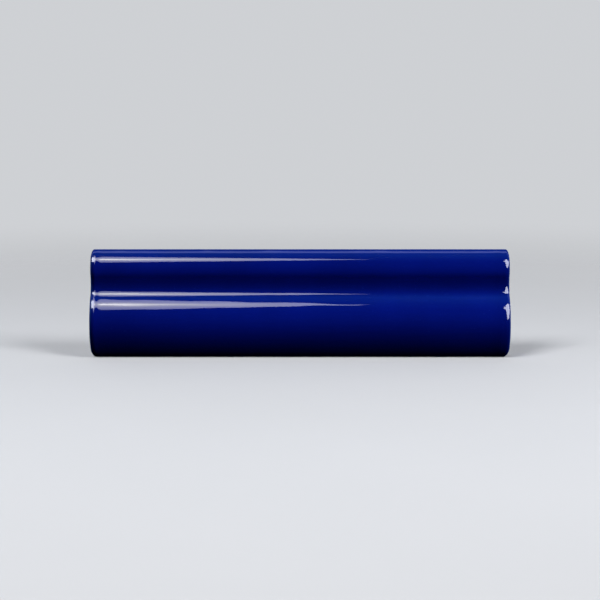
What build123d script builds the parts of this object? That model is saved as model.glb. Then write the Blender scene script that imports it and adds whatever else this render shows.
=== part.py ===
"""Glazed ceramic moulding tile: a trim bar with a bead, a cove and a torus along its face.

X runs along the tile, Z is up and the moulded face looks towards -Y.
The origin is the middle of the footprint, on the surface that the tile stands on.
"""
import math
import os

from build123d import *

# Driving dimensions, millimetres
LENGTH = 200.0
HEIGHT = 51.0
DEPTH = 18.0

# Layers of the tile, from the outside in
GLAZE = 0.7
ENGOBE = 0.3
KILN_WASH = 0.2

# Where each coat stops, measured from the back of the tile
GLAZE_STOP = 1.7
ENGOBE_STOP = 1.0

# Radii of the outer profile, from the top edge down to the foot
UPPER_BEAD_R = 10.2
LOWER_BEAD_R = 6.7
UPPER_COVE_R = 6.7
LOWER_COVE_R = 8.8
UPPER_TORUS_R = 19.7
LOWER_TORUS_R = 17.5
FOOT_R = 2.5

# How far the face leans where one curve turns into the next, degrees
TOP_LEAN = 67.0
BEAD_LEAN = 26.0
TORUS_LEAN = 46.1

# Level of the deepest line of the cove above the foot
COVE_Z = 35.4

# Rounding of the two ends where they meet the face, the top and the foot
END_R = 2.0

# Ribbed back: recesses that run along the tile between plain borders
RECESS_COUNT = 4
RECESS_HEIGHT = 5.6
RECESS_DEPTH = 0.9
RIB_HEIGHT = 4.4
BACK_BORDER_X = 7.0
CUT_OVERRUN = 1.0

# Slack when edges are picked by their place
PICK_SLACK = 0.01

BACK_Y = DEPTH / 2


def direction(lean):
    """Unit vector (outwards, up) of a face normal that leans up by this angle."""
    turn = math.radians(lean)
    return math.cos(turn), math.sin(turn)


def arc_span(centre, radius, lean_from, lean_to):
    """Start, middle and end of an arc, given as leans of its radius."""
    points = []
    for lean in (lean_from, (lean_from + lean_to) / 2, lean_to):
        out, up = direction(lean)
        points.append((centre[0] + radius * out, centre[1] + radius * up))
    return points


def profile_arcs(inset):
    """The moulded line, top to foot, moved into the tile by inset.

    Points are (distance out from the back, height). All arcs keep their centres,
    so a coat between two insets has the same thickness all over.
    """
    cos_top, sin_top = direction(TOP_LEAN)
    cos_torus, sin_torus = direction(TORUS_LEAN)
    cos_bead, sin_bead = direction(BEAD_LEAN)
    cove_out = DEPTH - (LOWER_COVE_R + UPPER_TORUS_R) * (1 - cos_torus)
    torus_z = COVE_Z - (LOWER_COVE_R + UPPER_TORUS_R) * sin_torus
    bead_out = cove_out + (UPPER_COVE_R + LOWER_BEAD_R) * (1 - cos_bead)
    bead_z = COVE_Z + (UPPER_COVE_R + LOWER_BEAD_R) * sin_bead
    top_r = (HEIGHT - bead_z - UPPER_BEAD_R * sin_top) / (1 - sin_top)
    top_out = bead_out - UPPER_BEAD_R + (UPPER_BEAD_R - top_r) * cos_top
    foot_sin = (torus_z - FOOT_R) / (LOWER_TORUS_R - FOOT_R)
    foot_lean = -math.degrees(math.asin(foot_sin))
    reach = LOWER_TORUS_R - FOOT_R
    foot_out = DEPTH - LOWER_TORUS_R + reach * direction(foot_lean)[0]
    return [
        arc_span((top_out, HEIGHT - top_r), top_r - inset, 90, TOP_LEAN),
        arc_span((bead_out - UPPER_BEAD_R, bead_z), UPPER_BEAD_R - inset, TOP_LEAN, 0),
        arc_span((bead_out - LOWER_BEAD_R, bead_z), LOWER_BEAD_R - inset, 0, -BEAD_LEAN),
        arc_span((cove_out + UPPER_COVE_R, COVE_Z), UPPER_COVE_R + inset, 180 - BEAD_LEAN, 180),
        arc_span((cove_out + LOWER_COVE_R, COVE_Z), LOWER_COVE_R + inset, 180, 180 + TORUS_LEAN),
        arc_span((DEPTH - UPPER_TORUS_R, torus_z), UPPER_TORUS_R - inset, TORUS_LEAN, 0),
        arc_span((DEPTH - LOWER_TORUS_R, torus_z), LOWER_TORUS_R - inset, 0, foot_lean),
        arc_span((foot_out, FOOT_R), FOOT_R - inset, foot_lean, -90),
    ]


def section(inset, back_out):
    """Closed face across the tile, from back_out to the moulded line."""
    arcs = profile_arcs(inset)
    plane = Plane(origin=(0, BACK_Y, 0), x_dir=(0, -1, 0), z_dir=(-1, 0, 0))
    top = (back_out, HEIGHT - inset)
    foot = (back_out, inset)
    with BuildSketch(plane) as sketch:
        with BuildLine():
            Line(top, arcs[0][0])
            for start, middle, end in arcs:
                ThreePointArc(start, middle, end)
            Line(arcs[-1][2], foot)
            Line(foot, top)
        make_face()
    return sketch.sketch


def rounded_bar(inset, back_out):
    """The whole tile moved in by inset, its ends rounded everywhere but at the back."""
    half = LENGTH / 2 - inset
    bar = extrude(section(inset, back_out), amount=half, both=True)
    ends = bar.faces().sort_by(Axis.X)
    edges = []
    for face in (ends[0], ends[-1]):
        face_edges = face.edges().sort_by(Axis.Y)
        edges += [edge for edge in face_edges if edge.center().Y < BACK_Y - back_out - PICK_SLACK]
    return fillet(edges, END_R - inset)


def recesses():
    """The shallow recesses pressed into the back, which leave ribs between them."""
    pitch = RECESS_HEIGHT + RIB_HEIGHT
    first = HEIGHT / 2 - pitch * (RECESS_COUNT - 1) / 2
    floor_y = BACK_Y - KILN_WASH - RECESS_DEPTH
    length = LENGTH - 2 * BACK_BORDER_X
    cut = Part()
    for index in range(RECESS_COUNT):
        slot = Box(length, RECESS_DEPTH + CUT_OVERRUN, RECESS_HEIGHT, align=(Align.CENTER, Align.MIN, Align.CENTER))
        cut += Pos(0, floor_y, first + index * pitch) * slot
    return cut


def wash_pads():
    """Thin pads of kiln wash on the ribs between and beside the recesses."""
    pitch = RECESS_HEIGHT + RIB_HEIGHT
    first = HEIGHT / 2 - pitch * RECESS_COUNT / 2
    length = LENGTH - 2 * BACK_BORDER_X
    pads = []
    for index in range(RECESS_COUNT + 1):
        pad = Box(length, KILN_WASH, RIB_HEIGHT, align=(Align.CENTER, Align.MAX, Align.CENTER))
        pads.append(Pos(0, BACK_Y, first + index * pitch) * pad)
    return Compound(children=pads)


def main():
    engobe_inset = GLAZE
    body_inset = GLAZE + ENGOBE
    body = rounded_bar(body_inset, KILN_WASH)
    nodes = {
        "clay_body": body - recesses(),
        "engobe_coat": rounded_bar(engobe_inset, ENGOBE_STOP) - body,
        "glaze_coat": rounded_bar(0, GLAZE_STOP) - rounded_bar(engobe_inset, ENGOBE_STOP),
        "kiln_wash": wash_pads(),
    }
    os.makedirs("parts", exist_ok=True)
    for name, shape in nodes.items():
        export_step(shape, f"parts/{name}.step")


main()
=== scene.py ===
import math

import bmesh
import bpy
from mathutils import Matrix, Vector, noise


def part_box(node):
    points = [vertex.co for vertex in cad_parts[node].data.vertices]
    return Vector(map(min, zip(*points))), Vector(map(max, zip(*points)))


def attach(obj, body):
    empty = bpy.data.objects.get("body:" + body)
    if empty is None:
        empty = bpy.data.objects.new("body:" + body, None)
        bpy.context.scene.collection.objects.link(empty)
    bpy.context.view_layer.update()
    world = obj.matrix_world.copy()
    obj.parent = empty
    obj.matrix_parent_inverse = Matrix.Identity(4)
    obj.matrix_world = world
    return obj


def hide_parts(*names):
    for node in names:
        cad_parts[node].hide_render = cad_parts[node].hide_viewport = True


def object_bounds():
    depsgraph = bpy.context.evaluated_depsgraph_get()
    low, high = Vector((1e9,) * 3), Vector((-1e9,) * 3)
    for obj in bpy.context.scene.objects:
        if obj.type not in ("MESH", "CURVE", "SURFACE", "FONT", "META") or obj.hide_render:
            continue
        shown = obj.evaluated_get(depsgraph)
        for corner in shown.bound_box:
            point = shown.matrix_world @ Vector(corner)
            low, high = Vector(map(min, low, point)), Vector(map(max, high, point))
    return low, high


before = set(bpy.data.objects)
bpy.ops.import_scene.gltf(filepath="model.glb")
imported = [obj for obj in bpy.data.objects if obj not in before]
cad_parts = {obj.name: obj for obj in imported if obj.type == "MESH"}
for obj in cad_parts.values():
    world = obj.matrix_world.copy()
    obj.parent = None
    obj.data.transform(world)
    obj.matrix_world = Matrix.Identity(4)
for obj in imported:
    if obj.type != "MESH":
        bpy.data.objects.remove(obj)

cad_low, cad_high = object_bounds()
scene = bpy.context.scene

# ---------------------------------------------------------------- sizes, metres
MM = 0.001
LENGTH = cad_high.x - cad_low.x
HEIGHT = cad_high.z
FRONT_Y = cad_low.y
BACK_Y = cad_high.y
DEPTH = BACK_Y - FRONT_Y
CENTRE = (cad_low + cad_high) / 2

# Where each coat stops, measured from the back of the tile
GLAZE_STOP = BACK_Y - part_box("glaze_coat")[1].y
ENGOBE_STOP = BACK_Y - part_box("engobe_coat")[1].y
BODY_STOP = BACK_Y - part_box("clay_body")[1].y

# How far under the outer surface each layer lies, and how far a coat bites into the next
ENGOBE_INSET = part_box("engobe_coat")[0].y - FRONT_Y
BODY_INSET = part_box("clay_body")[0].y - FRONT_Y
BITE = 0.02 * MM

# The moulded line, as in the CAD model: radii, leans where curves meet, level of the cove
UPPER_BEAD_R = 10.2 * MM
LOWER_BEAD_R = 6.7 * MM
UPPER_COVE_R = 6.7 * MM
LOWER_COVE_R = 8.8 * MM
UPPER_TORUS_R = 19.7 * MM
LOWER_TORUS_R = 17.5 * MM
FOOT_R = 2.5 * MM
TOP_LEAN = math.radians(67)
BEAD_LEAN = math.radians(26)
TORUS_LEAN = math.radians(46.1)
COVE_Z = 35.4 * MM

# Rounding of the end edges: down the face, along the top and along the foot. It tightens
# where the upward or downward share of the surface's normal goes from EDGE_TURN to 1
END_R = 2.4 * MM
TOP_END_R = 0.8 * MM
FOOT_END_R = 1.4 * MM
EDGE_TURN = 0.5
LEAST_R = 0.1 * MM

# How the ends fall back near the top and the foot: how far, over what height, how sharply
TOP_CORNER = (0.95 * MM, 7.0 * MM, 3.5)
FOOT_CORNER = (1.6 * MM, 9.0 * MM, 5.4)
CORNER_REACH = 12 * MM

# The glaze sinks a little between the beads that it forms along both ends. A bead is its
# place, from the end, and its width. RIM_WAVES is the share of the slow wave that shows on a
# bead, and END_RELIEF the share of all relief that is left at the very end
GLAZE_SINK = 0.12 * MM
LEFT_RIM = (2.3 * MM, 1.5 * MM)
RIGHT_RIM = (4.4 * MM, 2.2 * MM)
RIM_WAVES = 0.3
END_RELIEF = 0.25

# Waves of noise: size, and the scales and shifts of the three coordinates they are read at
SLOW_WAVE = (0.026 * MM, (48, 70, 70), (0, 0, 0))
QUICK_WAVE = (0.0018 * MM, (190, 190, 190), (7, 3, 0))
FLOW_WAVE = (0.018 * MM, (62, 640, 640), (0, 0, 11))
GLAZE_WANDER = (0.12 * MM, (170, 9, 0), (0, 0, 4.2))
GLAZE_DRIFT = (0.2 * MM, (40, 2, 0), (0, 0, 9.1))
ENGOBE_WANDER = (0.09 * MM, (90, 6, 0), (0, 0, 2.0))
BACK_GRAIN = (0.012 * MM, (900, 0, 900), (0, 0, 0))
BACK_SAG = (0.03 * MM, (60, 0, 60), (0, 5, 0))

# The flow wave fades over FLOW_FADE below FLOW_TOP, to the share FLOW_REST
FLOW_TOP = 33 * MM
FLOW_FADE = 4 * MM
FLOW_REST = 0.1

# Where the relief dies out, and how the edges of the layers round off
FOOT_CONTACT = 4 * MM
BACK_RIM = 2.5 * MM
GLAZE_LIP = 0.5 * MM
ENGOBE_LIP = 0.25 * MM
BODY_EDGE = 0.3 * MM

# Ribbed back
RECESS_COUNT = 4
RECESS_HEIGHT = 5.6 * MM
RIB_HEIGHT = 4.4 * MM
RECESS_DEPTH = 0.9 * MM
RECESS_PITCH = RECESS_HEIGHT + RIB_HEIGHT
RECESS_DRAFT = 0.55 * MM
RECESS_BREAK = 0.15 * MM
BACK_BORDER_X = 7.0 * MM
CALM_BORDER = 1.0 * MM

# Kiln wash pads: shares of the rib's length, its width and the full thickness, each with the
# wave by which it strays, and how sharply the pads end
WASH_THICK = BODY_STOP
WASH_BITE = 0.12 * MM
PAD_LENGTH = 0.985
PAD_LENGTH_WAVE = (0.012, (3.7, 0, 0), (0, 1.1, 8))
PAD_WIDTH = 0.82
PAD_WIDTH_WAVE = (0.09, (240, 5.3, 0), (0, 0, 2))
PAD_THICKNESS = 0.62
PAD_THICKNESS_WAVE = (0.3, (150, 500, 1), (0, 0, 0))
PAD_RAGGED_WAVE = (0.25 * MM, (700, 1, 1), (0, 0, 0))
PAD_END_POWER = 60
PAD_SIDE_RISE = 3
PAD_END_RISE = 90

# Mesh density. Rows crowd towards the ends, and END_STEPS more of them lie over END_REACH,
# which is uneven so that they keep off the other rows. Flats are finer where they start
ALONG_STEPS = 150
COARSE_ALONG_STEPS = 60
ALONG_CROWDING = 0.3
END_STEPS = 20
END_REACH = 5.03 * MM
ARRIS_STEPS = 9
CAP_STEPS = 14
FLAT_STEPS = 14
FLAT_CROWDING = 1.5
ARC_STEP = 0.34 * MM
COARSE_ARC_STEP = 1.2 * MM
RECESS_END_STEPS = 4
PAD_STEPS = (220, 14)
WELD = 1e-7

# ---------------------------------------------------------------- colours and grain
# Grain is noise of a scale per metre. It rises from least, where the noise is at start, to
# most, where the noise is at full. A bump is noise with a depth and a strength
GLAZE_MOTTLE = {"scale": 30, "detail": 3, "start": 0.3, "full": 0.7, "most": 0.16}
GLAZE_SPECKS = {"scale": 1500, "detail": 1, "start": 0.66, "full": 0.8, "most": 0.35}
GLAZE_ROUGHNESS = {
    "scale": 55, "detail": 3, "start": 0.25, "full": 0.75, "least": 0.022, "most": 0.045,
}
GLAZE_PEEL = {"scale": 800, "detail": 1.5, "depth": 0.03 * MM, "strength": 0.08}
GLAZE_IOR = 1.5
GLAZE_BLUE = (0.0012, 0.0082, 0.252)
GLAZE_THIN = (0.012, 0.035, 0.38)
GLAZE_POOL = (0.0, 0.0, 0.0)

# Height in mm and how pale the glaze is there: painted shade makes it darker near the foot
# # and in the cove, and painted light makes it paler on the bead
GLAZE_PAINTED_SHADING = [
    (1.5, 0.55), (3.5, 0.8), (6, 0.88), (10, 0.98), (20, 1.03), (28, 1.0), (31, 0.88),
    (33.5, 0.73), (36, 0.78), (38.5, 1.2), (40.5, 1.25), (42.3, 1.08), (45.5, 0.92), (49.3, 0.85),
]

# Where the glaze thins out: over which distances from the ends, by how much there, and over
# which distance from its back edge
THIN_END = (1.3 * MM, 0.2 * MM)
THIN_END_SHARE = 0.8
THIN_BACK = 2.2 * MM

ENGOBE_PATCHES = {"scale": 160, "detail": 4, "rough": 0.6, "start": 0.35, "full": 0.7}
ENGOBE_BUMP = {"scale": 1800, "detail": 3, "depth": 0.04 * MM, "strength": 0.6}
ENGOBE_ROUGHNESS = 0.75
ENGOBE_GREY = (0.70, 0.67, 0.61)
ENGOBE_WHITE = (0.84, 0.82, 0.78)

# The stain on the engobe fades between two distances from the back, and its edge is ragged
STAIN_BLUE = (0.10, 0.20, 0.52)
STAIN_SHARE = 0.75
STAIN_BAND = (2.0 * MM, 0.9 * MM)
STAIN_RAGGED = 0.9 * MM
STAIN_NOISE = {"scale": 420, "detail": 3}

CLAY_PATCHES = {"scale": 45, "detail": 4, "start": 0.3, "full": 0.7}
CLAY_DARK_GRAIN = {"scale": 1300, "detail": 2, "start": 0.64, "full": 0.74, "most": 0.55}
CLAY_LIGHT_GRAIN = {"scale": 1000, "detail": 2, "start": 0.36, "full": 0.27, "most": 0.5}
CLAY_COARSE_BUMP = {
    "scale": 700, "detail": 4, "rough": 0.6, "depth": 0.12 * MM, "strength": 0.7,
}
CLAY_FINE_BUMP = {"scale": 3200, "detail": 2, "depth": 0.03 * MM, "strength": 0.6}
CLAY_ROUGHNESS = 0.88
CLAY_WARM = (0.60, 0.43, 0.31)
CLAY_PALE = (0.75, 0.60, 0.48)
GROG_DARK = (0.30, 0.19, 0.12)
GROG_LIGHT = (0.86, 0.77, 0.66)
# Painted shade: the clay turns browner deep in the recesses of the back
RECESS_SHADE_BROWN = (0.42, 0.29, 0.2)
RECESS_SHADE_SHARE = 0.18

# The streaks of the kiln wash are grain stretched along the ribs
WASH_STREAKS = {
    "scale": 900, "detail": 3, "rough": 0.6, "start": 0.46, "full": 0.64, "most": 0.5,
}
WASH_STRETCH = (0.12, 1, 1)
WASH_BUMP = {"scale": 2400, "detail": 4, "rough": 0.65, "depth": 0.06 * MM, "strength": 0.8}
WASH_ROUGHNESS = 0.95
WASH_WHITE = (0.90, 0.89, 0.86)
WASH_THIN = (0.74, 0.62, 0.51)

# The floor has strong lights of its own, so its colour is darker than it looks. It fades out
# between two distances from the middle
FLOOR_NOISE = {"scale": 9, "detail": 3}
FLOOR_ROUGHNESS = 0.9
FLOOR_GREY = (0.21, 0.214, 0.22)
FLOOR_PALE = (0.22, 0.224, 0.23)
FLOOR_FADE = (0.16, 0.8)
FLOOR_MARGIN = 0.1
FLOOR_SEGMENTS = 96

# ---------------------------------------------------------------- studio and camera
BACKDROP = (0.62, 0.635, 0.66)
DOME_FRONT = (0.0, 0.0, 0.0)
DOME_BACK = (1.2, 1.21, 1.23)

# Where the dome turns from its front colour to its back colour, as Y and Z of a direction
DOME_TURN_Y = (0.05, 0.8)
DOME_TURN_Z = (-0.2, 0.3)

# Reflections: place round the X axis (0 front horizon, 0.5 overhead, 1 back horizon), colour
STUDIO_REFLECTION = [
    (0.002, (0.0, 0.0, 0.0)),
    (0.06, (0.002, 0.006, 0.015)),
    (0.27, (0.005, 0.02, 0.05)),
    (0.35, (0.014, 0.08, 0.14)),
    (0.45, (0.03, 0.18, 0.29)),
    (0.60, (0.04, 0.21, 0.38)),
    (0.72, (0.02, 0.08, 0.17)),
    (0.86, (0.03, 0.09, 0.19)),
    (0.998, (0.06, 0.14, 0.32)),
]

# Behind the tile, a direction just below the horizon shows what lies as far above it. This
# comes in between these values of Y and Z of the direction
MIRROR_Y = (0.0, 0.3)
MIRROR_Z = (-0.5, -0.2)

# The main softbox hangs in front and stands on its corner. SOFTBOX_REACH is half its width and
# SOFTBOX_RISE half its height. Its hot core lies right of its middle, stretched along X, and
# turns from a colour of its own to that of the softbox between two multiples of CORE_REACH
SOFTBOX_ELEVATION = 60.3
SOFTBOX_DISTANCE = 0.9
SOFTBOX_REACH = 0.424
SOFTBOX_RISE = 0.445
SOFTBOX_MIDDLE_X = -0.356
SOFTBOX_COLOUR = (3.85, 4.0, 5.2)
CORE_X = -0.205
CORE_STRETCH = 1.6
CORE_REACH = 0.045
CORE_GAIN = 6.6
CORE_TINT = (1.2, 3.9)
CORE_COLOUR = (3.7, 3.65, 3.35)

# Side cards, as (azimuth, elevation) of their corners seen from the nearer end of the object,
# CARD_LEVEL above its middle
LEFT_CARD = [
    (-22, 44), (-22, 66), (-35, 68), (-52, 63), (-63, 57), (-75, 50), (-85, 42), (-94, 34),
    (-96, 24), (-88, 26), (-75, 30), (-60, 37), (-45, 41),
]
RIGHT_CARD = [
    (16, 48), (29, 56), (47, 52), (62, 45.5), (76, 37), (88, 30), (100, 22), (101, 15),
    (80, 12), (65, 10), (50, 11), (33, 13), (27, 27), (20, 41),
]
LEFT_CARD_COLOUR = (13.7, 14.4, 16.4)
RIGHT_CARD_COLOUR = (11, 11.3, 13)
CARD_DISTANCE = 0.6
CARD_LEVEL = 10 * MM

# A wide strip behind the object, as (x, elevation) of its corners
STRIP_CORNERS = [(-1.5, 61.5), (1.5, 61.5), (1.5, 75), (-1.5, 75)]
STRIP_DISTANCE = 0.9
STRIP_COLOUR = (0.8, 1.06, 2.1)

# Soft lights, as seen from the middle of the object: name, azimuth (0 is the front, 90 the
# right), elevation, distance, width and watts
TILE_LIGHTS = [
    ("key", 0, 80, 1.1, 0.6, 8.2),
    ("fill_left", -52.1, 31.6, 1.338, 0.6, 1.2),
    ("fill_right", 52.1, 27.8, 1.288, 0.6, 7.3),
]
FLOOR_LIGHTS = [
    ("floor_left", -38, 43, 2.4, 1.1, 122),
    ("floor_right", 50, 34, 2.4, 1.1, 113),
]

# Distance in metres, lens and sensor in millimetres, angles in degrees. The camera looks
# higher than the middle of the object by CAMERA_TILT
CAMERA_DISTANCE = 0.85
CAMERA_ELEVATION = 7.5
CAMERA_LENS = 106.9
CAMERA_SENSOR = 36
CAMERA_TILT = 0.1225


# ---------------------------------------------------------------- numbers and noise
def smooth(low, high, value):
    """0 below low, 1 above high, and an even turn between them."""
    t = min(1.0, max(0.0, (value - low) / (high - low)))
    return t * t * (3 - 2 * t)


def noise_at(*place):
    return noise.noise(Vector(place))


def wave_at(wave, *place):
    """Height of a wave (size, scales, shifts) at three coordinates, within about its size."""
    size, scales, shifts = wave
    return size * noise_at(*(at * scale + shift for at, scale, shift in zip(place, scales, shifts)))


def wave_below(wave, *place):
    """How far a wave lies under its highest level, 0 to about twice its size."""
    return wave[0] - wave_at(wave, *place)


def wave_above(wave, *place):
    """How far a wave lies over its lowest level, 0 to about twice its size."""
    return wave[0] + wave_at(wave, *place)


# ---------------------------------------------------------------- the moulded line
def arc_stations(centre, radius, lean_from, lean_to, arc_step, hollow=False):
    """Stations (out, up, normal out, normal up) along one arc, without its last point."""
    count = max(4, round(abs(lean_to - lean_from) * radius / arc_step))
    side = -1 if hollow else 1
    stations = []
    for step in range(count):
        lean = lean_from + (lean_to - lean_from) * step / count
        out, up = math.cos(lean), math.sin(lean)
        stations.append((centre[0] + side * radius * out, centre[1] + side * radius * up, out, up))
    return stations


def moulded_line(step):
    """Stations of the curved part of the section, and where the top and foot flats end."""
    fall = 1 - math.cos(TORUS_LEAN)
    cove_out = DEPTH - (LOWER_COVE_R + UPPER_TORUS_R) * fall
    torus_z = COVE_Z - (LOWER_COVE_R + UPPER_TORUS_R) * math.sin(TORUS_LEAN)
    bead_out = cove_out + (UPPER_COVE_R + LOWER_BEAD_R) * (1 - math.cos(BEAD_LEAN))
    bead_z = COVE_Z + (UPPER_COVE_R + LOWER_BEAD_R) * math.sin(BEAD_LEAN)
    top_r = (HEIGHT - bead_z - UPPER_BEAD_R * math.sin(TOP_LEAN)) / (1 - math.sin(TOP_LEAN))
    top_out = bead_out - UPPER_BEAD_R + (UPPER_BEAD_R - top_r) * math.cos(TOP_LEAN)
    reach = LOWER_TORUS_R - FOOT_R
    foot_lean = -math.asin((torus_z - FOOT_R) / reach)
    foot_out = DEPTH - LOWER_TORUS_R + reach * math.cos(foot_lean)
    down = -math.pi / 2
    line = arc_stations((top_out, HEIGHT - top_r), top_r, -down, TOP_LEAN, step)
    line += arc_stations((bead_out - UPPER_BEAD_R, bead_z), UPPER_BEAD_R, TOP_LEAN, 0, step)
    line += arc_stations((bead_out - LOWER_BEAD_R, bead_z), LOWER_BEAD_R, 0, -BEAD_LEAN, step)
    line += arc_stations((cove_out + UPPER_COVE_R, COVE_Z), UPPER_COVE_R, -BEAD_LEAN, 0, step, True)
    line += arc_stations((cove_out + LOWER_COVE_R, COVE_Z), LOWER_COVE_R, 0, TORUS_LEAN, step, True)
    line += arc_stations((DEPTH - UPPER_TORUS_R, torus_z), UPPER_TORUS_R, TORUS_LEAN, 0, step)
    line += arc_stations((DEPTH - LOWER_TORUS_R, torus_z), LOWER_TORUS_R, 0, foot_lean, step)
    line += arc_stations((foot_out, FOOT_R), FOOT_R, foot_lean, down, step)
    return line, top_out, foot_out


def station_at(line, index, stop):
    """One station of a section that starts and ends at distance stop from the back."""
    curved, top_flat_out, foot_flat_out = line
    if index < FLAT_STEPS:
        share = (index / FLAT_STEPS) ** FLAT_CROWDING
        return stop + (top_flat_out - stop) * share, HEIGHT, 0.0, 1.0
    if index < FLAT_STEPS + len(curved):
        return curved[index - FLAT_STEPS]
    share = ((2 * FLAT_STEPS + len(curved) - index) / FLAT_STEPS) ** FLAT_CROWDING
    return stop + (foot_flat_out - stop) * share, 0.0, 0.0, -1.0


def corner_fall(up):
    """How far the end face falls back at this height, near the top and near the foot."""
    fall = 0.0
    for (run, rise, power), gap in ((TOP_CORNER, HEIGHT - up), (FOOT_CORNER, up)):
        fall += run * min(1.0, max(0.0, 1 - gap / rise)) ** power
    return fall


# ---------------------------------------------------------------- the tile's skin at any depth
def along_places(steps, extra=()):
    """Places of the rows along the tile, closer together towards its ends."""
    half = LENGTH / 2 - END_R
    places = list(extra)
    for step in range(1, END_STEPS + 1):
        places += [side * (half - END_REACH * step / END_STEPS) for side in (-1, 1)]
    for step in range(steps + 1):
        share = 2 * step / steps - 1
        crowded = math.sin(share * math.pi / 2)
        places.append(half * ((1 - ALONG_CROWDING) * share + ALONG_CROWDING * crowded))
    return sorted(places)


def skin_runs(places):
    """(place, turn, cap) of each row: over one flat end, round its edge, along, and back."""
    caps = [1 - (1 - step / CAP_STEPS) ** 2 for step in range(CAP_STEPS, 0, -1)]
    turns = [math.pi / 2 * step / ARRIS_STEPS for step in range(ARRIS_STEPS, 0, -1)]
    start = [(places[0], math.pi / 2, cap) for cap in caps]
    start += [(places[0], turn, 0) for turn in turns]
    end = [(places[-1], turn, cap) for _, turn, cap in reversed(start)]
    return start + [(place, 0, 0) for place in places] + end


def end_radius(normal_up):
    """Rounding of the end edge: wide down the face, tight along the top and the foot."""
    top = (END_R - TOP_END_R) * smooth(EDGE_TURN, 1, normal_up)
    foot = (END_R - FOOT_END_R) * smooth(EDGE_TURN, 1, -normal_up)
    return END_R - top - foot


def skin_point(station, stop, level, run, inset_at, relief_at):
    """One point of the skin, from a station of the section and the row's (place, turn, cap)."""
    out, up, normal_out, normal_up = station
    place, turn, cap = run
    radius = end_radius(normal_up)
    bare_out = out - normal_out * radius * (1 - math.cos(turn))
    bare_out += (stop - bare_out) * cap
    bare_x = LENGTH / 2 - radius * (1 - math.sin(turn)) if turn else abs(place)
    inset = inset_at(bare_out - stop) + relief_at(math.copysign(bare_x, place), bare_out, up, stop)
    radius = max(radius - inset, LEAST_R)
    sunk = inset + radius * (1 - math.cos(turn))
    spot_out = out - normal_out * sunk
    spot_up = up - normal_up * sunk
    spot_out += (stop - spot_out) * cap
    spot_up += (level - spot_up) * cap
    near_end = smooth(LENGTH / 2 - CORNER_REACH, LENGTH / 2 - END_R, abs(place))
    from_middle = LENGTH / 2 - inset - radius * (1 - math.sin(turn)) if turn else abs(place)
    from_middle -= corner_fall(spot_up) * near_end
    return Vector((math.copysign(from_middle, place), BACK_Y - spot_out, spot_up))


def no_relief(x, out, up, stop):
    return 0.0


def skin(line, places, stop_at, inset_at, relief_at=no_relief):
    """Rows of points that wrap the face, top, foot and ends of the tile.

    stop_at(place, share) says how far from the back the skin stops, inset_at(run) how deep
    it lies at that distance past the stop, and relief_at(x, out, up, stop) what is added.
    """
    count = 2 * FLAT_STEPS + len(line[0]) + 1
    least = inset_at(0) + LEAST_R
    high, low = HEIGHT - max(TOP_END_R, least), max(FOOT_END_R, least)
    rows = []
    for run in skin_runs(places):
        row = []
        for index in range(count):
            share = index / (count - 1)
            stop = stop_at(run[0], share if run[2] else round(share))
            level = high + (low - high) * share
            station = station_at(line, index, stop)
            row.append(skin_point(station, stop, level, run, inset_at, relief_at))
        rows.append(row)
    return rows


# ---------------------------------------------------------------- meshes from rows of points
def add_rows(builder, rows):
    grid = [[builder.verts.new(point) for point in row] for row in rows]
    for first, second in zip(grid, grid[1:]):
        for step in range(len(first) - 1):
            builder.faces.new((first[step], first[step + 1], second[step + 1], second[step]))


def make_piece(name, grids, material):
    """A smooth-shaded closed mesh from grids of points, welded where their edges meet."""
    builder = bmesh.new()
    for rows in grids:
        add_rows(builder, rows)
    bmesh.ops.remove_doubles(builder, verts=builder.verts, dist=WELD)
    bmesh.ops.dissolve_degenerate(builder, edges=builder.edges, dist=WELD / 4)
    bmesh.ops.recalc_face_normals(builder, faces=builder.faces)
    mesh = bpy.data.meshes.new(name)
    builder.to_mesh(mesh)
    builder.free()
    mesh.polygons.foreach_set("use_smooth", [True] * len(mesh.polygons))
    mesh.materials.append(material)
    piece = bpy.data.objects.new(name, mesh)
    scene.collection.objects.link(piece)
    return piece


# ---------------------------------------------------------------- glaze and engobe
def glaze_edge(place, share):
    """Distance of the glaze edge from the back: it wanders as a dipped coat does."""
    wander = wave_above(GLAZE_WANDER, place, share, 0)
    return GLAZE_STOP + wander + wave_above(GLAZE_DRIFT, place, share, 0)


def engobe_edge(place, share):
    """Distance of the engobe edge from the back."""
    return ENGOBE_STOP + wave_above(ENGOBE_WANDER, place, share, 0)


def glaze_outside(run):
    """Depth of the glaze surface past its edge, where it rounds off."""
    part = max(0.0, 1 - run / GLAZE_LIP)
    return ENGOBE_INSET * (1 - math.sqrt(max(0.0, 1 - part * part)))


def glaze_inside(run):
    return ENGOBE_INSET + BITE * smooth(0, GLAZE_LIP, run)


def engobe_outside(run):
    """Depth of the engobe surface past its edge, where it thins out."""
    part = max(0.0, 1 - run / ENGOBE_LIP)
    return ENGOBE_INSET + (BODY_INSET - ENGOBE_INSET) * part * part


def engobe_inside(run):
    return BODY_INSET + BITE * smooth(0, ENGOBE_LIP, run)


def glaze_relief(x, out, up, stop):
    """How far the glaze surface lies under its highest level: end beads and slow waves."""
    from_end = LENGTH / 2 - abs(x)
    place, width = LEFT_RIM if x < 0 else RIGHT_RIM
    rim = math.exp(-((from_end - place) / width) ** 2)
    slow = wave_below(SLOW_WAVE, x, out, up)
    quick = wave_below(QUICK_WAVE, x, out, up)
    flow = wave_below(FLOW_WAVE, x, out, up)
    flow *= 1 - (1 - FLOW_REST) * smooth(FLOW_TOP - FLOW_FADE, FLOW_TOP, up)
    depth = (GLAZE_SINK + slow + quick + flow) * (1 - rim) + RIM_WAVES * slow * rim
    depth *= smooth(GLAZE_LIP, GLAZE_LIP + BACK_RIM, out - stop) * smooth(0, FOOT_CONTACT, up)
    return depth * (END_RELIEF + (1 - END_RELIEF) * smooth(0, END_R, from_end))


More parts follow.
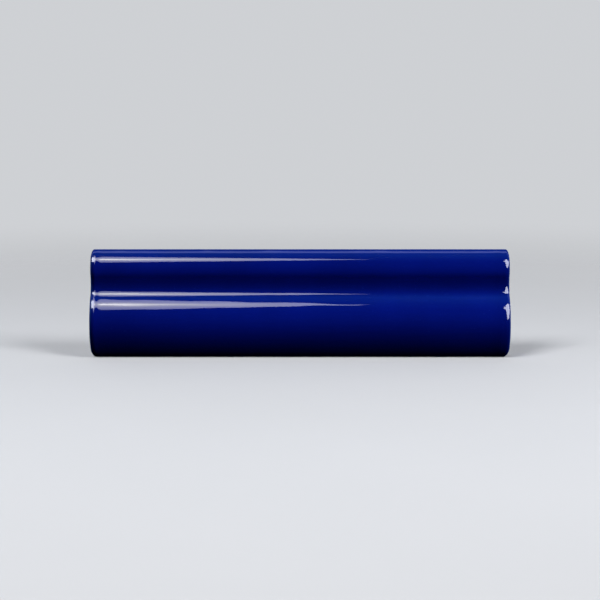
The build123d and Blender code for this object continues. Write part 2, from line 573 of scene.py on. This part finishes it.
def make_glaze(material):
    line = moulded_line(ARC_STEP)
    places = along_places(ALONG_STEPS)
    outer = skin(line, places, glaze_edge, glaze_outside, glaze_relief)
    inner = skin(line, places, glaze_edge, glaze_inside)
    return make_piece("glaze_shell", [outer, inner], material)


def make_engobe(material):
    line = moulded_line(COARSE_ARC_STEP)
    places = along_places(COARSE_ALONG_STEPS)
    outer = skin(line, places, engobe_edge, engobe_outside)
    inner = skin(line, places, engobe_edge, engobe_inside)
    return make_piece("engobe_layer", [outer, inner], material)


# ---------------------------------------------------------------- clay body and its ribbed back
def body_edge(place, share):
    return BODY_STOP


def body_outside(run):
    """Depth of the body's surface: its back edge is worn round."""
    part = max(0.0, 1 - run / BODY_EDGE)
    return BODY_INSET + BODY_EDGE * (1 - math.sqrt(max(0.0, 1 - part * part)))


def recess_depth(x, up):
    """Depth of the back under the ribs' plane: recesses with sloped sides."""
    first = HEIGHT / 2 - RECESS_PITCH * (RECESS_COUNT - 1) / 2
    nearest = min(RECESS_COUNT - 1, max(0, round((up - first) / RECESS_PITCH)))
    across = abs(up - first - nearest * RECESS_PITCH) - RECESS_HEIGHT / 2
    along = abs(x) - (LENGTH / 2 - BACK_BORDER_X)
    return RECESS_DEPTH * smooth(-RECESS_BREAK, RECESS_DRAFT, -max(across, along))


def back_face(rows):
    """Grid that closes the back, between the edges of the body's skin."""
    top = [row[0] for row in rows]
    foot = [row[-1] for row in rows]
    left, right = rows[0], rows[-1]
    grid = []
    for high, low in zip(top, foot):
        share = (high.x - top[0].x) / (top[-1].x - top[0].x)
        gap = low.x - foot[0].x - (foot[-1].x - foot[0].x) * share
        line = []
        for near, far in zip(left, right):
            down = (left[0].z - near.z) / (left[0].z - left[-1].z)
            x = near.x + (far.x - near.x) * share + gap * down
            z = high.z + (low.z - high.z) * down
            border = min(high.z - z, z - low.z, x - near.x, far.x - x)
            rough = wave_below(BACK_GRAIN, x, 0, z) + wave_below(BACK_SAG, x, 0, z)
            depth = recess_depth(x, z) + rough * smooth(0, CALM_BORDER, border)
            line.append(Vector((x, high.y - depth, z)))
        grid.append(line)
    return grid


def make_body(material):
    recess_end = LENGTH / 2 - BACK_BORDER_X
    extra = []
    for side in (-1, 1):
        for step in range(-1, RECESS_END_STEPS + 1):
            extra.append(side * (recess_end - RECESS_DRAFT * step / RECESS_END_STEPS))
    rows = skin(moulded_line(ARC_STEP), along_places(ALONG_STEPS, extra), body_edge, body_outside)
    ring = [rows[0]] + rows[CAP_STEPS:-CAP_STEPS] + [rows[-1]]
    return make_piece("fired_body", [rows, back_face(ring)], material)


# ---------------------------------------------------------------- kiln wash on the ribs
def wash_pad(index, half_length):
    """Two grids, top and underside, of one thin ragged pad on the rib of this index."""
    middle = HEIGHT / 2 + RECESS_PITCH * (index - RECESS_COUNT / 2)
    along, across = PAD_STEPS
    pad_half = half_length * (PAD_LENGTH + wave_at(PAD_LENGTH_WAVE, index, 0, 0))
    top, under = [], []
    for column in range(along + 1):
        u = 2 * column / along - 1
        x = u * pad_half
        half = RIB_HEIGHT / 2 * (PAD_WIDTH + wave_at(PAD_WIDTH_WAVE, x, index, 0))
        half *= math.sqrt(max(0.0, 1 - abs(u) ** PAD_END_POWER))
        top_row, under_row = [], []
        for step in range(across + 1):
            v = 2 * step / across - 1
            z = middle + v * half
            x_ragged = x + wave_at(PAD_RAGGED_WAVE, z, index, u) * abs(u) ** PAD_END_POWER
            edge = min(1.0, (1 - abs(v)) * PAD_SIDE_RISE, (1 - abs(u)) * PAD_END_RISE)
            fullness = min(1.0, PAD_THICKNESS + wave_at(PAD_THICKNESS_WAVE, x, z, index))
            thick = WASH_THICK * edge * fullness
            top_row.append(Vector((x_ragged, BACK_Y - WASH_THICK + thick, z)))
            under_row.append(Vector((x_ragged, BACK_Y - WASH_THICK - WASH_BITE * edge, z)))
        top.append(top_row)
        under.append(under_row)
    return [top, under]


def make_wash(material):
    wash_low, wash_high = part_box("kiln_wash")
    grids = []
    for index in range(RECESS_COUNT + 1):
        grids += wash_pad(index, (wash_high.x - wash_low.x) / 2)
    return make_piece("wash_bands", grids, material)


# ---------------------------------------------------------------- node helpers
def add_node(tree, kind, inputs=None, **settings):
    """Adds a node. An input is a value, or another node's socket to link."""
    node = tree.nodes.new(kind)
    for key, value in settings.items():
        setattr(node, key, value)
    for key, value in (inputs or {}).items():
        if isinstance(value, bpy.types.NodeSocket):
            tree.links.new(value, node.inputs[key])
        else:
            node.inputs[key].default_value = value
    return node


def cloud(tree, place, scale, detail, rough=0.5):
    """Noise of this scale per metre, 0 to 1."""
    sockets = {"Vector": place, "Scale": scale, "Detail": detail, "Roughness": rough}
    return add_node(tree, "ShaderNodeTexNoise", sockets).outputs["Fac"]


def ranged(tree, value, low, high, to_low=0.0, to_high=1.0):
    """An even turn from to_low, where value is low, to to_high, where it is high."""
    sockets = {"Value": value, "From Min": low, "From Max": high, "To Min": to_low, "To Max": to_high}
    node = add_node(tree, "ShaderNodeMapRange", sockets, interpolation_type="SMOOTHSTEP")
    return node.outputs["Result"]


def grain(tree, place, scale, detail, start, full, rough=0.5, least=0.0, most=1.0):
    """Noise that turns from least, where it is at start, to most, where it is at full."""
    return ranged(tree, cloud(tree, place, scale, detail, rough), start, full, least, most)


def math_node(tree, operation, *values):
    return add_node(tree, "ShaderNodeMath", dict(enumerate(values)), operation=operation).outputs[0]


def vector_node(tree, operation, output, *values):
    node = add_node(tree, "ShaderNodeVectorMath", dict(enumerate(values)), operation=operation)
    return node.outputs[output]


def split(tree, vector):
    """The X, Y and Z outputs of a vector, by name."""
    return add_node(tree, "ShaderNodeSeparateXYZ", {"Vector": vector}).outputs


def rgba(colour):
    return colour if isinstance(colour, bpy.types.NodeSocket) else (*colour, 1.0)


def mixed(tree, factor, first, second):
    """Colour mix. A colour is a tuple of three or a socket."""
    sockets = {0: factor, 6: rgba(first), 7: rgba(second)}
    return add_node(tree, "ShaderNodeMix", sockets, data_type="RGBA").outputs[2]


def colour_ramp(tree, value, stops):
    """Colours by value, from (position, colour) pairs."""
    node = add_node(tree, "ShaderNodeValToRGB", {"Fac": value})
    elements = node.color_ramp.elements
    for position, colour in stops:
        elements.new(position).color = rgba(colour)
    elements.remove(elements[0])
    elements.remove(elements[-1])
    return node.outputs["Color"]


def bumped(tree, place, scale, detail, depth, strength, rough=0.5, under=None):
    """Normals of a surface with noise of this scale per metre on it, over those of under."""
    height = cloud(tree, place, scale, detail, rough)
    sockets = {"Height": height, "Distance": depth, "Strength": strength}
    if under:
        sockets["Normal"] = under
    return add_node(tree, "ShaderNodeBump", sockets).outputs["Normal"]


def start_material(name, roughness):
    """A material with a Principled shader. Returns material, tree, shader, object coordinates."""
    material = bpy.data.materials.new(name)
    material.use_nodes = True
    tree = material.node_tree
    tree.nodes.clear()
    shader = add_node(tree, "ShaderNodeBsdfPrincipled", {"Roughness": roughness})
    output = add_node(tree, "ShaderNodeOutputMaterial")
    tree.links.new(shader.outputs[0], output.inputs["Surface"])
    place = add_node(tree, "ShaderNodeTexCoord").outputs["Object"]
    return material, tree, shader, place


def feed(tree, shader, **sockets):
    for name, socket in sockets.items():
        tree.links.new(socket, shader.inputs[name.replace("_", " ")])


# ---------------------------------------------------------------- materials
def glaze_thinness(tree, place):
    """How thin the glaze is, 0 to 1: on the end edges and towards its back edge."""
    parts = split(tree, place)
    from_middle = math_node(tree, "ABSOLUTE", parts["X"])
    at_end = ranged(tree, from_middle, LENGTH / 2 - THIN_END[0], LENGTH / 2 - THIN_END[1])
    at_back = ranged(tree, parts["Y"], BACK_Y - GLAZE_STOP - THIN_BACK, BACK_Y - GLAZE_STOP)
    at_end = math_node(tree, "MULTIPLY", at_end, THIN_END_SHARE)
    return math_node(tree, "MAXIMUM", at_end, at_back)


def glaze_material():
    """Deep cobalt glaze: glassy, a little uneven in depth, paler where it runs thin, with painted
    shade and light by height.
    """
    material, tree, shader, place = start_material("cobalt_glaze", GLAZE_ROUGHNESS["least"])
    shader.inputs["IOR"].default_value = GLAZE_IOR
    level = math_node(tree, "DIVIDE", split(tree, place)["Z"], HEIGHT)
    # Painted shade and light: the glaze is darker towards the foot and in the cove, paler on the bead
    painted_tones = [
        (height * MM / HEIGHT, tuple(value * gain for value in GLAZE_BLUE))
        for height, gain in GLAZE_PAINTED_SHADING
    ]
    mottle = grain(tree, place, **GLAZE_MOTTLE)
    # Random mottle towards black, over the painted shading
    mottled_painted_shading = mixed(tree, mottle, colour_ramp(tree, level, painted_tones), GLAZE_POOL)
    speckled = mixed(tree, grain(tree, place, **GLAZE_SPECKS), mottled_painted_shading, GLAZE_THIN)
    colour = mixed(tree, glaze_thinness(tree, place), speckled, GLAZE_THIN)
    rough = grain(tree, place, **GLAZE_ROUGHNESS)
    peel = bumped(tree, place, **GLAZE_PEEL)
    feed(tree, shader, Base_Color=colour, Roughness=rough, Normal=peel)
    return material


def engobe_material():
    """Thin off-white slip between body and glaze, stained blue where the glaze edge ran."""
    material, tree, shader, place = start_material("white_engobe", ENGOBE_ROUGHNESS)
    base = mixed(tree, grain(tree, place, **ENGOBE_PATCHES), ENGOBE_GREY, ENGOBE_WHITE)
    ragged = math_node(tree, "MULTIPLY", cloud(tree, place, **STAIN_NOISE), STAIN_RAGGED)
    back = math_node(tree, "ADD", split(tree, place)["Y"], ragged)
    stain = ranged(tree, back, BACK_Y - STAIN_BAND[0], BACK_Y - STAIN_BAND[1], STAIN_SHARE, 0.0)
    colour = mixed(tree, stain, base, STAIN_BLUE)
    bump = bumped(tree, place, **ENGOBE_BUMP)
    feed(tree, shader, Base_Color=colour, Normal=bump)
    return material


def clay_material():
    """Fired buff clay, dry and grainy, with darker and paler grog, and painted shade in the recesses.
    """
    material, tree, shader, place = start_material("fired_clay", CLAY_ROUGHNESS)
    tone = mixed(tree, grain(tree, place, **CLAY_PATCHES), CLAY_WARM, CLAY_PALE)
    grog = mixed(tree, grain(tree, place, **CLAY_DARK_GRAIN), tone, GROG_DARK)
    colour = mixed(tree, grain(tree, place, **CLAY_LIGHT_GRAIN), grog, GROG_LIGHT)
    rib_y = BACK_Y - BODY_STOP
    up_the_rib = ranged(tree, split(tree, place)["Y"], rib_y - RECESS_DEPTH, rib_y)
    # Painted shade: browner towards the bottom of each recess
    shade = ranged(tree, up_the_rib, 0, 1, RECESS_SHADE_SHARE, 0.0)
    colour = mixed(tree, shade, colour, RECESS_SHADE_BROWN)
    coarse = bumped(tree, place, **CLAY_COARSE_BUMP)
    fine = bumped(tree, place, **CLAY_FINE_BUMP, under=coarse)
    feed(tree, shader, Base_Color=colour, Normal=fine)
    return material


def wash_material():
    """Chalky kiln wash, streaked along the ribs, with clay showing where it is thin."""
    material, tree, shader, place = start_material("kiln_wash", WASH_ROUGHNESS)
    stretched = add_node(tree, "ShaderNodeMapping", {"Vector": place, "Scale": WASH_STRETCH})
    streaks = grain(tree, stretched.outputs["Vector"], **WASH_STREAKS)
    colour = mixed(tree, streaks, WASH_WHITE, WASH_THIN)
    bump = bumped(tree, place, **WASH_BUMP)
    feed(tree, shader, Base_Color=colour, Normal=bump)
    return material


def floor_material():
    """Pale matt floor, which fades out into the backdrop far from the object."""
    material, tree, shader, place = start_material("studio_floor", FLOOR_ROUGHNESS)
    shade = mixed(tree, cloud(tree, place, **FLOOR_NOISE), FLOOR_GREY, FLOOR_PALE)
    feed(tree, shader, Base_Color=shade)
    fade = ranged(tree, vector_node(tree, "LENGTH", "Value", place), *FLOOR_FADE)
    clear = add_node(tree, "ShaderNodeBsdfTransparent")
    sockets = {0: fade, 1: shader.outputs[0], 2: clear.outputs[0]}
    blend = add_node(tree, "ShaderNodeMixShader", sockets)
    output = tree.nodes["Material Output"]
    tree.links.new(blend.outputs[0], output.inputs["Surface"])
    return material


# ---------------------------------------------------------------- studio
def make_floor():
    """A round floor that the camera alone sees, so that it adds no light to the object."""
    builder = bmesh.new()
    radius = FLOOR_FADE[1] + FLOOR_MARGIN
    bmesh.ops.create_circle(builder, cap_ends=True, segments=FLOOR_SEGMENTS, radius=radius)
    mesh = bpy.data.meshes.new("floor")
    builder.to_mesh(mesh)
    builder.free()
    mesh.materials.append(floor_material())
    floor = bpy.data.objects.new("floor", mesh)
    scene.collection.objects.link(floor)
    floor.visible_glossy = False
    floor.visible_diffuse = False
    return floor


def aim(elevation):
    """Unit vector from the object, at this elevation up from the front horizon."""
    turn = math.radians(elevation)
    return Vector((0.0, -math.cos(turn), math.sin(turn)))


def seen_at(origin, azimuth, elevation, distance):
    """Point seen from origin at this azimuth (0 is the front, 90 the right), in degrees."""
    turn, rise = math.radians(azimuth), math.radians(elevation)
    flat = math.cos(rise)
    return origin + distance * Vector((flat * math.sin(turn), -flat * math.cos(turn), math.sin(rise)))


def add_core(tree, glow, colour, core):
    """A hot spot of its own colour, round the place core, on a card that glows in colour."""
    spot = add_node(tree, "ShaderNodeNewGeometry").outputs["Position"]
    away = vector_node(tree, "SUBTRACT", 0, spot, core)
    away = vector_node(tree, "MULTIPLY", 0, away, (1 / CORE_STRETCH, 1, 1))
    length = vector_node(tree, "LENGTH", "Value", away)
    fall = math_node(tree, "EXPONENT", math_node(tree, "MULTIPLY", length, -1 / CORE_REACH))
    power = math_node(tree, "MULTIPLY_ADD", fall, CORE_GAIN, 1.0)
    tree.links.new(power, glow.inputs["Strength"])
    tint = ranged(tree, length, CORE_REACH * CORE_TINT[0], CORE_REACH * CORE_TINT[1])
    tree.links.new(mixed(tree, tint, CORE_COLOUR, colour), glow.inputs["Color"])


def make_card(name, corners, colour, core=None):
    """A glowing card that only reflections see, with a hot spot if it has a core."""
    mesh = bpy.data.meshes.new(name)
    mesh.from_pydata(corners, [], [tuple(range(len(corners)))])
    card = bpy.data.objects.new(name, mesh)
    scene.collection.objects.link(card)
    material = bpy.data.materials.new(name)
    material.use_nodes = True
    tree = material.node_tree
    tree.nodes.clear()
    glow = add_node(tree, "ShaderNodeEmission", {"Color": rgba(colour), "Strength": 1.0})
    if core:
        add_core(tree, glow, colour, core)
    output = add_node(tree, "ShaderNodeOutputMaterial")
    tree.links.new(glow.outputs[0], output.inputs["Surface"])
    mesh.materials.append(material)
    card.visible_camera = False
    card.visible_diffuse = False
    card.visible_transmission = False
    card.visible_shadow = False


def make_softbox():
    """The one softbox in front, with its hot core."""
    towards = aim(SOFTBOX_ELEVATION)
    middle = CENTRE + towards * SOFTBOX_DISTANCE
    across = Vector((SOFTBOX_REACH, 0, 0))
    along = towards.cross(Vector((1, 0, 0))) * SOFTBOX_RISE
    hang = middle + Vector((SOFTBOX_MIDDLE_X, 0, 0))
    corners = [hang - across, hang - along, hang + across, hang + along]
    make_card("softbox", corners, SOFTBOX_COLOUR, middle + Vector((CORE_X, 0, 0)))


def make_side_card(name, side, card, colour):
    """A card beside the object, placed as the end on that side (-1 left, 1 right) sees it."""
    end = CENTRE + Vector((side * LENGTH / 2, 0, CARD_LEVEL))
    make_card(name, [seen_at(end, *corner, CARD_DISTANCE) for corner in card], colour)


def make_back_strip():
    corners = []
    for x, elevation in STRIP_CORNERS:
        corners.append(Vector((x, 0, 0)) + seen_at(CENTRE, 180, elevation, STRIP_DISTANCE))
    make_card("back_strip", corners, STRIP_COLOUR)


def make_area_light(name, azimuth, elevation, distance, width, watts, receivers):
    """A soft light that lights the receivers and is not itself reflected."""
    place = seen_at(CENTRE, azimuth, elevation, distance)
    data = bpy.data.lights.new(name, "AREA")
    data.shape = "DISK"
    data.size = width
    data.energy = watts
    light = bpy.data.objects.new(name, data)
    scene.collection.objects.link(light)
    turned = (place - CENTRE).to_track_quat("Z", "Y").to_matrix().to_4x4()
    light.matrix_world = Matrix.Translation(place) @ turned
    light.visible_glossy = False
    light.visible_camera = False
    group = bpy.data.collections.new(name)
    for receiver in receivers:
        group.objects.link(receiver)
    light.light_linking.receiver_collection = group


def dome_colour(tree, parts):
    """What matt surfaces see: a soft light from behind and above."""
    turned = ranged(tree, parts["Y"], *DOME_TURN_Y)
    raised = ranged(tree, parts["Z"], *DOME_TURN_Z)
    return mixed(tree, math_node(tree, "MULTIPLY", turned, raised), DOME_FRONT, DOME_BACK)


def reflected_colour(tree, parts):
    """What reflections see: bands of dim blue round the X axis."""
    to_front = math_node(tree, "MULTIPLY", parts["Y"], -1.0)
    # Less twice itself, a height is its mirror image above the horizon
    to_image = math_node(tree, "MAXIMUM", math_node(tree, "MULTIPLY", parts["Z"], -2.0), 0.0)
    near_level = ranged(tree, parts["Z"], *MIRROR_Z)
    mirrored = math_node(tree, "MULTIPLY", near_level, ranged(tree, parts["Y"], *MIRROR_Y))
    height = math_node(tree, "ADD", parts["Z"], math_node(tree, "MULTIPLY", to_image, mirrored))
    round_x = math_node(tree, "ARCTAN2", height, to_front)
    return colour_ramp(tree, math_node(tree, "DIVIDE", round_x, math.pi), STUDIO_REFLECTION)


def make_world():
    """Pale backdrop for the camera, a soft dome for matt surfaces, a dim studio in reflections."""
    world = bpy.data.worlds.new("studio")
    world.use_nodes = True
    scene.world = world
    tree = world.node_tree
    tree.nodes.clear()
    path = add_node(tree, "ShaderNodeLightPath").outputs
    parts = split(tree, add_node(tree, "ShaderNodeTexCoord").outputs["Generated"])
    lit = mixed(tree, path["Is Glossy Ray"], dome_colour(tree, parts), reflected_colour(tree, parts))
    seen = mixed(tree, path["Is Camera Ray"], lit, BACKDROP)
    background = add_node(tree, "ShaderNodeBackground", {"Color": seen})
    output = add_node(tree, "ShaderNodeOutputWorld")
    tree.links.new(background.outputs[0], output.inputs["Surface"])


def make_studio(pieces):
    make_world()
    floor = make_floor()
    make_softbox()
    make_side_card("left_card", -1, LEFT_CARD, LEFT_CARD_COLOUR)
    make_side_card("right_card", 1, RIGHT_CARD, RIGHT_CARD_COLOUR)
    make_back_strip()
    for light in TILE_LIGHTS:
        make_area_light(*light, pieces)
    for light in FLOOR_LIGHTS:
        make_area_light(*light, [floor])


def make_camera():
    data = bpy.data.cameras.new("camera")
    data.sensor_width = CAMERA_SENSOR
    data.lens = CAMERA_LENS
    camera = bpy.data.objects.new("camera", data)
    scene.collection.objects.link(camera)
    camera.location = CENTRE + aim(CAMERA_ELEVATION) * CAMERA_DISTANCE
    camera.rotation_euler = (math.radians(90 - CAMERA_ELEVATION + CAMERA_TILT), 0, 0)
    scene.camera = camera


# ---------------------------------------------------------------- the object in its studio
PIECES = [
    (make_glaze(glaze_material()), "glaze_coat", "cobalt_glaze"),
    (make_engobe(engobe_material()), "engobe_coat", "white_engobe"),
    (make_body(clay_material()), "clay_body", "fired_clay"),
    (make_wash(wash_material()), "kiln_wash", "kiln_wash"),
]
for piece, node, slot in PIECES:
    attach(piece, "root")
    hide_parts(node)

make_studio([piece for piece, node, slot in PIECES])
make_camera()
scene.view_settings.view_transform = "Standard"
